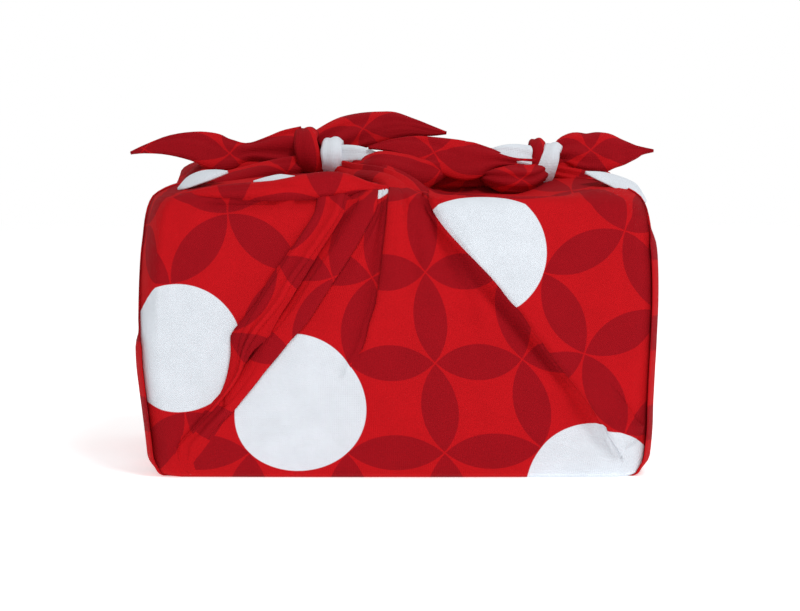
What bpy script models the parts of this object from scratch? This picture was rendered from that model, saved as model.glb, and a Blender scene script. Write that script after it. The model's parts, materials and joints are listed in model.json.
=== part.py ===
"""Furoshiki wrap: one square of cotton folded round a box-shaped load and tied in two knots on top.

Metres, +Z up, front towards -Y, origin under the middle of the base. The cloth is one piece, so it
is one closed solid: the wrapped body with its pleats, the gathers that climb to the knots, the two
knots and their four free ends.
"""

import math

import bmesh
import bpy
from mathutils import Matrix, Vector

MM = 0.001

# Driving dimensions, in millimetres.
CORNER_RADIUS = 9.0
CORNER_SEGMENTS = 3
SIDE_BULGE = 3.5
FACE_BULGE = 1.5
SIDE_LAP = 1.6
STEP_WIDTH = 0.5
STRAND_SIDES = 12
BAND_SHARE = 0.28      # thickness of a knot's band, as a share of its half height
CROWN_SAG = 9.0        # how far the crown sinks in front of the knots, right of the neck
CLOTH_RED = (0.48, 0.009, 0.012, 1.0)

# Body outline: height, left and right reach at the front, half depth.
BODY_LEVELS = (
    (0.0, 118.0, 119.5, 79.0),
    (3.0, 122.0, 123.5, 82.5),
    (9.0, 124.0, 125.5, 84.5),
    (17.0, 125.0, 126.3, 85.2),
    (26.0, 126.0, 126.8, 85.6),
    (36.0, 127.0, 127.0, 86.0),
    (46.0, 128.0, 127.5, 86.3),
    (56.0, 129.0, 128.0, 86.5),
    (66.0, 129.5, 128.5, 86.5),
    (77.0, 130.0, 129.0, 86.5),
    (88.0, 130.0, 129.0, 86.5),
    (99.0, 129.5, 128.8, 86.3),
    (110.0, 129.0, 128.5, 86.0),
    (120.0, 128.0, 127.5, 85.5),
    (129.0, 127.0, 126.5, 85.0),
    (136.0, 125.5, 125.0, 83.5),
    (141.0, 123.0, 122.5, 80.5),
    (145.0, 118.0, 118.0, 74.0),
    (148.0, 109.0, 110.0, 62.0),
    (150.5, 94.0, 96.0, 47.0),
    (152.0, 72.0, 75.0, 32.0),
    (153.0, 42.0, 45.0, 18.0),
)

# Fold lines of the front face: height, place across the face. Each line leaves the neck at the top
# edge and runs down to a bottom corner or fades out.
FOLDS = {
    "outer_left": ((3, -118), (13, -114), (22, -107), (40, -94), (54, -85.5), (68, -83), (77, -78),
                   (95, -65), (116, -52), (136, -40)),
    "second_left": ((3, -117), (13, -112.8), (22, -105.8), (40, -93), (59, -79.5), (76, -68.5),
                    (90, -57), (100, -51.5), (116, -40.5), (131, -30)),
    "third_left": ((3, -106), (21, -93.5), (35, -81), (54, -66.5), (70, -53.5), (80, -44), (96, -34),
                   (112, -23.5), (127, -15), (138, -10)),
    "upright": ((3, -38), (59, -22), (70, -16.5), (79, -14), (88, -10.5), (104, -8), (138, -4.5)),
    "right": ((3, 116), (6, 114.5), (23, 106), (28, 102), (69, 73), (90, 56), (138, 16.5)),
}

# How each fold stands at its line: height where it has faded out, height where it is full, and the
# level of the cloth on its left and right, in millimetres out from the face.
FOLD_STEPS = {
    "outer_left": (30, 75, 0.0, 2.4),
    "second_left": (20, 70, 2.6, 0.3),
    "third_left": (18, 60, 2.2, 0.4),
    "upright": (50, 100, -0.6, 1.8),
    "right": (4, 30, 0.2, 2.4),
}

# Panels between the folds: places of the soft columns, as a fraction of the panel, and their level.
PANELS = (
    ((0.0, 0.0), (0.3, 0.6), (0.75, 0.4)),
    ((0.5, 3.2),),
    ((0.35, 2.4), (0.8, 2.6)),
    ((0.4, 1.0), (0.8, 0.6)),
    ((0.1, 1.5), (0.32, -0.4), (0.6, 0.6), (0.85, 0.4)),
    ((0.25, 2.0), (0.6, 0.9), (0.85, 0.4), (1.0, 0.0)),
)

# Side face: place across the depth as a fraction of the half depth, and how far its soft upright
# folds stand in or out.
SIDE_COLUMNS = ((-0.9, 0.0), (-0.6, 1.0), (-0.35, -0.6), (0.0, 0.8), (0.35, -0.5), (0.6, 1.0), (0.9, 0.0))

# Gathers and free ends. Each row: place across, depth and height of the middle line, half width,
# half thickness, and the turn of the width about the line, where 0 lies flat and 90 stands upright.
STRANDS = {
    "left_gather": ((-119, 0, 134, 36, 3, 172), (-113, 0, 144, 44, 5, 171), (-104, 0, 150, 42, 7, 169),
                    (-90, -3, 154.5, 29, 8, 164), (-70, -8, 157, 18, 9, 154), (-54, -12, 159, 11, 8, 140),
                    (-43, -14, 161, 8, 8, 130)),
    "right_gather": ((119, 0.6, 134, 36, 3.5, 8), (113, 0.4, 142, 42, 5, 9), (105, 0.2, 147.5, 40, 6, 12),
                     (97, -5, 151.5, 28, 8, 20), (88, -11, 154.5, 14, 8, 34), (76, -14, 157, 8, 8, 50)),
    "front_gather": ((5, -74, 140, 15, 4, 0), (1, -65, 145.5, 12, 5, 12), (-9, -53, 149.5, 9, 6, 35),
                     (-20, -36, 151.5, 7.5, 6.5, 55), (-32, -17, 154, 7, 7, 65), (-42, -9, 158, 7, 7, 70)),
    "back_gather": ((8, 79, 136, 31, 4, 0), (10, 71, 146, 27, 5, 2), (20, 52, 151, 21, 7, 6),
                    (38, 30, 154, 16, 9, 12), (58, 6, 156, 11, 8, 25), (76, -12, 157, 8, 8, 35)),
    "front_roll": ((-113, -70, 140.5, 1, 1.5, 112), (-97, -77, 142.6, 3.2, 3.6, 108),
                   (-80, -79, 143.6, 4.6, 4.6, 105), (-61, -80, 144.4, 5.4, 5, 104),
                   (-41, -80, 146.8, 7, 5.2, 104), (-27, -78, 147.4, 6.2, 4.8, 106),
                   (-14, -74, 145.6, 3, 3.4, 112), (0, -70, 144.4, 1.4, 1.8, 115)),
    "bridge": ((-34, -10, 153, 7, 6, 120), (-6, -24, 150, 8, 6, 120), (22, -32, 151.5, 8, 6, 118),
               (48, -28, 152, 8, 6, 115), (73, -18, 155, 7, 6, 115)),
    "lobe": ((-34, -12, 152, 4, 4, 110), (-21, -27, 154, 6, 4.6, 112), (-10, -42, 156, 8.6, 5.4, 114),
             (2, -44, 153.6, 9.8, 6, 115), (11, -44, 152, 9.2, 6, 115), (18, -42, 153.4, 6.6, 5, 114),
             (26, -38, 155, 3.4, 3, 112)),
    "right_lobe": ((43, -34, 151, 1.4, 1.5, 110), (50, -40, 149.8, 5.2, 5, 108),
                   (58, -41, 149, 7.6, 6.6, 105), (66, -36, 149.4, 7.2, 6.6, 100), (75, -26, 152.5, 5, 5, 100)),
    "left_end": ((-50, -14, 165, 12, 8, 82), (-60, -15, 164.2, 10.6, 6.6, 78), (-69, -16, 163.6, 7.6, 5, 72),
                 (-78, -17, 163, 5.2, 3.4, 66), (-85, -17, 162, 8, 3, 62), (-92, -18, 162.2, 10.2, 2.8, 60),
                 (-99, -18, 164, 10.6, 2.8, 60), (-107, -18, 166, 8.8, 2.6, 60), (-120, -17, 166.6, 6, 2, 60),
                 (-133, -16, 164.8, 2.5, 1.4, 60), (-141, -15, 162.8, 0.7, 0.7, 60)),
    "middle_end": ((-42, -6, 165, 9, 7, 105), (-33, -3, 169.6, 10, 6, 112), (-25, 0, 173, 10.6, 4.6, 118),
                   (-18, 1, 175, 10.4, 3.8, 120), (-9, 2, 176.6, 9.6, 3.2, 120), (-1, 2, 177.6, 8.2, 2.8, 120),
                   (8, 3, 176.6, 5.5, 2.2, 120), (18, 3, 174.6, 3.2, 1.5, 120), (26.5, 3, 173.4, 0.7, 0.7, 120)),
    "crossing_end": ((72, -24, 157, 4.6, 4.4, 80), (63, -30, 157.6, 3.4, 3.6, 75), (55, -33, 158.6, 4, 3.4, 72),
                     (48, -35, 159.4, 6.6, 3.2, 68), (41, -37, 159.2, 10, 3, 65), (35, -38, 158.8, 11.2, 3, 64),
                     (28, -38, 160.2, 10.8, 3, 64), (19, -38, 162.6, 9.2, 2.8, 64),
                     (8, -37, 165.4, 6.8, 2.2, 64), (-4, -36, 166.6, 3.4, 1.5, 64),
                     (-15, -35, 165.7, 0.7, 0.7, 64)),
    "right_end": ((78, -14, 159.5, 7, 6, 100), (84, -14, 161.5, 5.6, 5, 105), (89, -14, 163.4, 8.4, 4.8, 112),
                  (94, -14, 164, 10.6, 4.2, 118), (100, -14, 163.2, 11.2, 3.6, 120),
                  (107, -14, 163.4, 12.2, 3.2, 120), (113, -14, 164, 10.8, 2.8, 120),
                  (119.5, -13, 163.4, 7.8, 2.3, 120), (125.5, -13, 163.6, 4.6, 1.8, 120),
                  (130, -12, 164, 2.3, 1.3, 120), (136, -12, 164, 0.7, 0.7, 120)),
}

# Bands pulled tight round the knots: middle, half width, half height, half depth and lean in degrees.
BANDS = {
    "left_red": ((-46.5, -14.0, 162.6), 6.8, 14.0, 15.5, -9.0),
    "left_white": ((-33.8, -14.0, 160.4), 6.0, 11.0, 17.0, -3.0),
    "right_red": ((71.5, -16.0, 157.8), 5.0, 13.0, 13.0, 16.0),
    "right_white": ((78.4, -16.0, 156.0), 5.6, 12.6, 14.0, 24.0),
}

# Insides of the knots: middle and half sizes.
CORES = {
    "left_core": ((-42.0, -14.0, 161.5), (12.0, 13.0, 11.5)),
    "right_core": ((75.5, -15.0, 157.0), (9.0, 11.0, 10.5)),
}


def between(rows, place, column=1):
    """Read a column of a table at a place, in straight steps."""
    if place <= rows[0][0]:
        return rows[0][column]
    for low, high in zip(rows, rows[1:]):
        if place <= high[0]:
            part = (place - low[0]) / (high[0] - low[0])
            return low[column] + part * (high[column] - low[column])
    return rows[-1][column]


def ramp(value, low, high):
    """0 below low, 1 above high and straight between."""
    return min(max((value - low) / (high - low), 0.0), 1.0)


def face_columns(height, left, right):
    """Places across one long face and the level of the cloth there, from its left end to its right."""
    gather = right / 125.0 if height > 138 else 1.0
    lines = []
    for name, rows in FOLDS.items():
        low, full, level_left, level_right = FOLD_STEPS[name]
        strength = ramp(height, low, full) * ramp(153.0 - height, 0.0, 8.0)
        lines.append((between(rows, height) * gather, level_left * strength, level_right * strength))
    columns = []
    start = -left
    for number, (panel, line) in enumerate(zip(PANELS, lines + [(right, 0.0, 0.0)])):
        place, level_left, level_right = line
        room = 3 * STEP_WIDTH * (len(FOLDS) - number)
        place = min(max(place, start + 3 * STEP_WIDTH), right - room)
        calm = ramp(height, 6, 60) * ramp(153.0 - height, 0.0, 8.0)
        for part, level in panel:
            columns.append((start + part * (place - start - STEP_WIDTH), level * calm))
        if number < len(FOLDS):
            columns.append((place - STEP_WIDTH, level_left))
            columns.append((place, level_right))
            start = place + STEP_WIDTH
    return columns


def ring_points(height, left, right, depth):
    """One level of the body: front face, right side, back face and left side, seen from above."""
    points = []
    squareness = ramp(152.0 - height, 0.0, 12.0)
    radius = CORNER_RADIUS + (1.0 - squareness) * 0.5 * depth
    radius = min(radius, 0.9 * depth)
    lap = SIDE_LAP * ramp(height, 4, 12) * ramp(140.0 - height, 0, 12)
    for turn, reach_left, reach_right in ((1, left, right), (-1, right, left)):
        end_left, end_right = reach_left - radius, reach_right - radius
        for place, level in face_columns(height, end_left, end_right):
            middle = 1.0 - (place / 125.0) ** 2
            out = depth + FACE_BULGE * middle * squareness + level
            points.append((turn * place, -turn * out))
        for step in range(1, CORNER_SEGMENTS + 1):
            angle = math.pi / 2 * step / (CORNER_SEGMENTS + 1)
            across = end_right + (radius + lap) * math.sin(angle)
            out = depth - radius + radius * math.cos(angle)
            points.append((turn * across, -turn * out))
        for part, level in SIDE_COLUMNS:
            bulge = SIDE_BULGE * (1.0 - part * part) * squareness
            fold = level * ramp(height, 20, 90) * squareness
            across = reach_right + lap + bulge + fold
            points.append((turn * across, turn * part * (depth - radius)))
        for step in range(1, CORNER_SEGMENTS + 1):
            angle = math.pi / 2 * step / (CORNER_SEGMENTS + 1)
            across = end_right + (radius + lap) * math.cos(angle)
            out = depth - radius + radius * math.sin(angle)
            points.append((turn * across, turn * out))
    return [Vector((x, y, height - crown_sag(x, y, height))) for x, y in points]


def crown_sag(x, y, height):
    """How far the crown sinks at a place in front of the knots."""
    across = ramp(x, 4.0, 26.0) - ramp(x, 78.0, 104.0)
    return CROWN_SAG * across * ramp(-y, 14.0, 42.0) * ramp(height, 140.5, 151.0)


def loft(name, rings, collection):
    """Close a row of like rings into one solid."""
    mesh = bmesh.new()
    rows = [[mesh.verts.new(point * MM) for point in ring] for ring in rings]
    for low, high in zip(rows, rows[1:]):
        for i in range(len(low)):
            j = (i + 1) % len(low)
            mesh.faces.new((low[i], low[j], high[j], high[i]))
    mesh.faces.new(list(reversed(rows[0])))
    mesh.faces.new(rows[-1])
    bmesh.ops.triangulate(mesh, faces=mesh.faces[:])
    bmesh.ops.recalc_face_normals(mesh, faces=mesh.faces[:])
    data = bpy.data.meshes.new(name)
    mesh.to_mesh(data)
    mesh.free()
    obj = bpy.data.objects.new(name, data)
    collection.objects.link(obj)
    return obj


def strand_rings(rows):
    """Sections of a gather or a free end: flat ovals along a smooth middle line."""
    def smooth(column, place):
        i = min(int(place), len(rows) - 2)
        part = place - i
        before = rows[max(i - 1, 0)][column]
        here, after = rows[i][column], rows[i + 1][column]
        beyond = rows[min(i + 2, len(rows) - 1)][column]
        return here + 0.5 * part * ((after - before) + part * (
            (2 * before - 5 * here + 4 * after - beyond) + part * (3 * (here - after) + beyond - before)))

    steps = 2 if len(rows) < 9 else 1
    count = (len(rows) - 1) * steps + 1
    stations = [[smooth(column, step / steps) for column in range(6)] for step in range(count)]
    rings = []
    for i, (x, y, z, width, thick, turn) in enumerate(stations):
        ahead = Vector(stations[min(i + 1, count - 1)][:3])
        behind = Vector(stations[max(i - 1, 0)][:3])
        along = (ahead - behind).normalized()
        level = along.cross(Vector((0, 0, 1))).normalized()
        wide = level * math.cos(math.radians(turn)) + level.cross(along) * math.sin(math.radians(turn))
        flat = along.cross(wide)
        ring = []
        for step in range(STRAND_SIDES):
            angle = 2 * math.pi * step / STRAND_SIDES
            ring.append(Vector((x, y, z)) + wide * width * math.cos(angle) + flat * thick * math.sin(angle))
        rings.append(ring)
    return rings


def knot_core(name, middle, sizes, collection):
    """The inside of a knot, where the strands cross."""
    bpy.ops.mesh.primitive_uv_sphere_add(segments=16, ring_count=10, radius=MM)
    core = bpy.context.object
    core.data.transform(Matrix.Translation(Vector(middle) * MM) @ Matrix.Diagonal((*sizes, 1.0)))
    return moved_to(core, name, collection)


def knot_band(name, middle, width, tall, deep, lean, collection):
    """One turn of cloth round a knot: a ring about the strands' own direction."""
    bpy.ops.mesh.primitive_torus_add(major_segments=18, minor_segments=8, major_radius=(1 - BAND_SHARE) * MM,
                                     minor_radius=BAND_SHARE * MM)
    band = bpy.context.object
    upright = Matrix.Rotation(math.radians(90), 4, "Y")
    stretch = Matrix.Diagonal((width / BAND_SHARE, deep, tall, 1.0))
    tilt = Matrix.Rotation(math.radians(lean), 4, "Y")
    band.data.transform(Matrix.Translation(Vector(middle) * MM) @ tilt @ stretch @ upright)
    return moved_to(band, name, collection)


def moved_to(obj, name, collection):
    """Name an object and keep it in one collection only."""
    obj.name = name
    for owner in list(obj.users_collection):
        owner.objects.unlink(obj)
    collection.objects.link(obj)
    return obj


def join_all(body, pieces):
    """Join the pieces to the body with Boolean unions."""
    for piece in pieces:
        piece.hide_render = True
        piece.display_type = "WIRE"
        union = body.modifiers.new(piece.name, "BOOLEAN")
        union.operation = "UNION"
        union.solver = "EXACT"
        union.object = piece


def printed_cotton():
    """Plain-woven cotton, printed red: dull, with no metal."""
    material = bpy.data.materials.new("printed_cotton")
    material.use_nodes = True
    shader = material.node_tree.nodes["Principled BSDF"]
    shader.inputs["Base Color"].default_value = CLOTH_RED
    shader.inputs["Roughness"].default_value = 0.85
    shader.inputs["Metallic"].default_value = 0.0
    return material


def main():
    for obj in list(bpy.data.objects):
        bpy.data.objects.remove(obj, do_unlink=True)
    parts = bpy.data.collections.new("furoshiki_wrap")
    guides = bpy.data.collections.new("joined_shapes")
    for collection in (parts, guides):
        bpy.context.scene.collection.children.link(collection)
    cloth = loft("furoshiki_cloth", [ring_points(*level) for level in BODY_LEVELS], parts)
    cloth.data.materials.append(printed_cotton())
    pieces = [loft(name, strand_rings(rows), guides) for name, rows in STRANDS.items()]
    pieces += [knot_core(name, *core, guides) for name, core in CORES.items()]
    pieces += [knot_band(name, *band, guides) for name, band in BANDS.items()]
    join_all(cloth, pieces)


main()
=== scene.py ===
import json
import math

import bmesh
import bpy
import numpy as np
from bpy.props import FloatProperty, FloatVectorProperty, PointerProperty, StringProperty
from bpy.types import Operator, Panel, PropertyGroup
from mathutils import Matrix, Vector

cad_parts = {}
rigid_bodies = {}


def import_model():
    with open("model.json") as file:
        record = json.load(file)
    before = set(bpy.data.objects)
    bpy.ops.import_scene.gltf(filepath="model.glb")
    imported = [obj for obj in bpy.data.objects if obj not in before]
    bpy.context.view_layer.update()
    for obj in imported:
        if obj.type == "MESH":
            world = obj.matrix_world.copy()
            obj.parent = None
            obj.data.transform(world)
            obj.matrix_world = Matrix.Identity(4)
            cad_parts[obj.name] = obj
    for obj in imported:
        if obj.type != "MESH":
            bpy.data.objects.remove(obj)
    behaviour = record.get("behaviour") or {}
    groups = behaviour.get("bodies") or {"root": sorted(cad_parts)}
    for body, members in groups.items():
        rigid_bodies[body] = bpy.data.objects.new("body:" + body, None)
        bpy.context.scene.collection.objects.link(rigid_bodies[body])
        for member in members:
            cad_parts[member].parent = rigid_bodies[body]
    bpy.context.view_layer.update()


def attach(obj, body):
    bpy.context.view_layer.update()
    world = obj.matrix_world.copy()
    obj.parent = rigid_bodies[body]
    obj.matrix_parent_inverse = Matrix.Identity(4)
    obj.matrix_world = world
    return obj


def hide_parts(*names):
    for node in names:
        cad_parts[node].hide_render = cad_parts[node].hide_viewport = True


bl_info = {
    "name": "Furoshiki Wrap",
    "version": (1, 0, 0),
    "blender": (4, 5, 0),
    "location": "3D View > Sidebar > Wrap",
    "description": "A square cotton cloth folded round a box and tied in two knots",
    "category": "Object",
}

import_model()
MM = 0.001

# ---------------------------------------------------------------- sizes, in millimetres
# The body's outline, fold lines and gathers are those of the solid; heights count from the base.
CORNER_RADIUS = 9.0
SIDE_BULGE = 3.5
FACE_BULGE = 1.5
EDGE_HEIGHT = 138.0
CROWN_HEIGHT = 153.0
BASE_DEPTH = 85.0
SIDE_REACH = 127.0

BODY_LEVELS = (
    (0.0, 118.0, 119.5, 79.0),
    (1.2, 120.6, 122.0, 81.2),
    (3.0, 122.2, 123.6, 82.8),
    (9.0, 124.0, 125.5, 84.5),
    (17.0, 125.0, 126.3, 85.2),
    (26.0, 126.0, 126.8, 85.6),
    (36.0, 127.0, 127.0, 86.0),
    (46.0, 128.0, 127.5, 86.3),
    (56.0, 129.0, 128.0, 86.5),
    (66.0, 129.5, 128.5, 86.5),
    (88.0, 130.0, 129.0, 86.5),
    (110.0, 129.0, 128.5, 86.0),
    (120.0, 128.0, 127.5, 85.5),
    (129.0, 127.0, 126.5, 85.0),
    (136.0, 125.5, 125.0, 83.5),
    (141.0, 123.0, 122.5, 80.5),
    (145.0, 118.0, 118.0, 74.0),
    (148.0, 109.0, 110.0, 62.0),
    (150.5, 94.0, 96.0, 47.0),
    (152.0, 72.0, 75.0, 32.0),
    (153.0, 42.0, 45.0, 18.0),
    (153.2, 20.0, 22.0, 8.0),
    (153.2, 1.0, 1.0, 0.5),
)

CROWN_SAG = 9.0        # how far the crown sinks in front of the knots, right of the neck

# Fold lines down the front face: height, place across.
FOLDS = {
    "outer_left": ((3, -118), (13, -114), (22, -107), (40, -91.5), (54, -82), (68, -79), (77, -75.5),
                   (95, -65), (107, -57.5), (116, -52), (124, -46.5), (136, -40)),
    "second_left": ((3, -117), (13, -112.8), (22, -105.8), (40, -93), (59, -79.5), (76, -68.5),
                    (90, -57), (100, -51.5), (116, -40.5), (122, -36), (131, -30), (138, -27)),
    "third_left": ((3, -106), (21, -93.5), (35, -81), (54, -66.5), (70, -53.5), (80, -44), (96, -34),
                   (112, -23.5), (127, -15), (138, -10)),
    "upright": ((3, -38), (59, -22), (70, -16.5), (79, -14), (88, -10.5), (104, -8), (138, -4.5)),
    "right": ((3, 116), (6, 114.5), (23, 106), (28, 102), (69, 73), (90, 56), (138, 16.5)),
}

# Each fold: height where it has faded out, height where it is full, depth of its tuck, which side
# lies on top (1 the right, -1 the left), and how far the top layer stands out at the fold.
FOLD_SHAPES = {
    "outer_left": (30, 72, 14, 1, 2.8),
    "second_left": (14, 60, 12, -1, 4.0),
    "third_left": (16, 48, 12, -1, 2.2),
    "upright": (48, 95, 9, 1, 3.2),
    "right": (4, 26, 18, 1, 4.8),
}

# Panels from left to right: columns across, level at the left edge, middle and right edge, the turn
# of the print in degrees, and the print's crossing that lies at a known place across and up.
PANELS = {
    "left": (20, 0.0, 0.5, 0.0, -39.0, (-4, 2), (-113.0, 98.0)),
    "first_strip": (9, 2.8, 1.6, 4.0, -32.0, (-2, 2), (-60.0, 112.0)),
    "second_strip": (10, -1.6, 1.6, 2.2, -24.0, (-1, 2), (-32.0, 101.5)),
    "third_strip": (9, 0.0, 0.9, -1.4, -14.5, (0, 2), (-12.5, 101.5)),
    "middle": (32, 3.2, 0.6, -3.0, 0.0, (0, 0), (-25.0, 13.2)),
    "right": (22, 4.8, 0.9, 0.2, 26.9, (3, 1), (93.5, 63.5)),
}

# Strips whose fold fades out: heights between which their print runs into the middle panel's.
PRINT_MEETS = {"third_strip": (42.0, 62.0)}

# Panels whose print is drawn together under the knots, with the place up the cloth it stops short of.
PRINT_LIMITS = {"left": 180.0, "second_strip": 135.0, "third_strip": 135.0}
LIMIT_REACH = 8.0

# Soft troughs (-) and ridges (+) of the front: width, height out, and the line across and up.
FRONT_CREASES = (
    (4.5, -2.6, ((18, 136), (21.5, 121), (27.5, 107), (34.5, 93), (38, 72), (50, 50))),
    (3.5, 2.0, ((27, 136), (33, 122), (41, 106), (50, 92))),
    (4.0, -2.2, ((86, 52), (66, 72), (50, 90), (34, 112), (24, 128), (16, 140))),
    (4.0, -1.8, ((9, 137), (9, 120), (8, 104), (4, 88))),
    (3.5, 1.5, ((2, 137), (2, 118), (-2, 100), (-6, 84))),
    (3.0, -0.8, ((93.5, 133), (96, 126), (98, 112), (102, 92))),
    (3.5, 0.8, ((88, 143), (104, 140), (116, 137))),
    (3.0, -0.8, ((-82.5, 80), (-87.5, 72), (-94, 60), (-98, 54))),
    (5.0, 0.7, ((-100, 140), (-104, 122), (-112, 100))),
    (4.0, -0.6, ((-90, 140), (-93, 124), (-99, 108))),
    (2.5, -0.9, ((28, 139), (32, 131), (38, 124))),
    (2.2, 0.9, ((34, 141), (38, 134), (45, 126))),
    (2.2, -0.8, ((41, 141), (46, 134), (54, 127))),
    (5.0, -0.6, ((60, 139), (72, 124), (86, 108))),
    (3.0, -1.2, ((119, 6), (112, 10), (104, 18))),
    (3.0, -1.0, ((-118, 6), (-112, 12), (-104, 24))),
    (6.0, 0.6, ((-60, 20), (-30, 30), (10, 26))),
    (5.0, -0.5, ((30, 14), (58, 22), (88, 20))),
    (2.0, -5.0, ((-60, 139.2), (-84, 139), (-110, 139.5))),
    (2.0, -5.0, ((-50, 139.6), (-28, 140.5), (-4, 142))),
    (1.3, -3.4, ((13, 147), (16, 142), (20, 138))),
    (1.3, -3.0, ((21, 146), (24, 142), (29, 138))),
    (1.2, -2.6, ((14, 140), (18, 136), (22, 131))),
    (1.4, -2.2, ((4, 144), (5, 138), (5, 130))),
    (1.4, -2.0, ((-20, 139), (-24, 133), (-30, 126))),
)

# Soft folds of the back, as seen from behind: width, height out, line.
BACK_CREASES = (
    (4.5, -1.6, ((14, 136), (18, 120), (22, 104), (30, 84), (44, 60))),
    (4.0, 1.1, ((26, 136), (34, 118), (46, 98))),
    (3.5, -0.9, ((6, 137), (5, 118), (0, 96))),
    (3.5, -0.8, ((70, 136), (84, 118), (98, 92))),
    (3.5, 0.8, ((-86, 138), (-96, 116), (-106, 90))),
    (3.0, -0.8, ((36, 138), (46, 128), (58, 120))),
    (3.0, -1.0, ((119, 6), (110, 12), (100, 22))),
    (6.0, 0.6, ((-70, 24), (-30, 34), (20, 22))),
)

# Soft folds of a side flap: width, height out, line from the front (-) to the back (+), and up.
SIDE_CREASES = (
    (6.0, -1.4, ((-12, 150), (-20, 120), (-34, 84), (-52, 40))),
    (5.0, 1.2, ((-4, 150), (-6, 118), (-12, 84))),
    (6.0, -1.2, ((14, 150), (22, 118), (36, 78), (54, 36))),
    (5.0, 1.0, ((26, 148), (38, 118), (52, 88))),
    (4.5, -0.8, ((3, 150), (4, 130), (4, 104))),
    (7.0, 0.7, ((-60, 16), (0, 24), (58, 14))),
)

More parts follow.
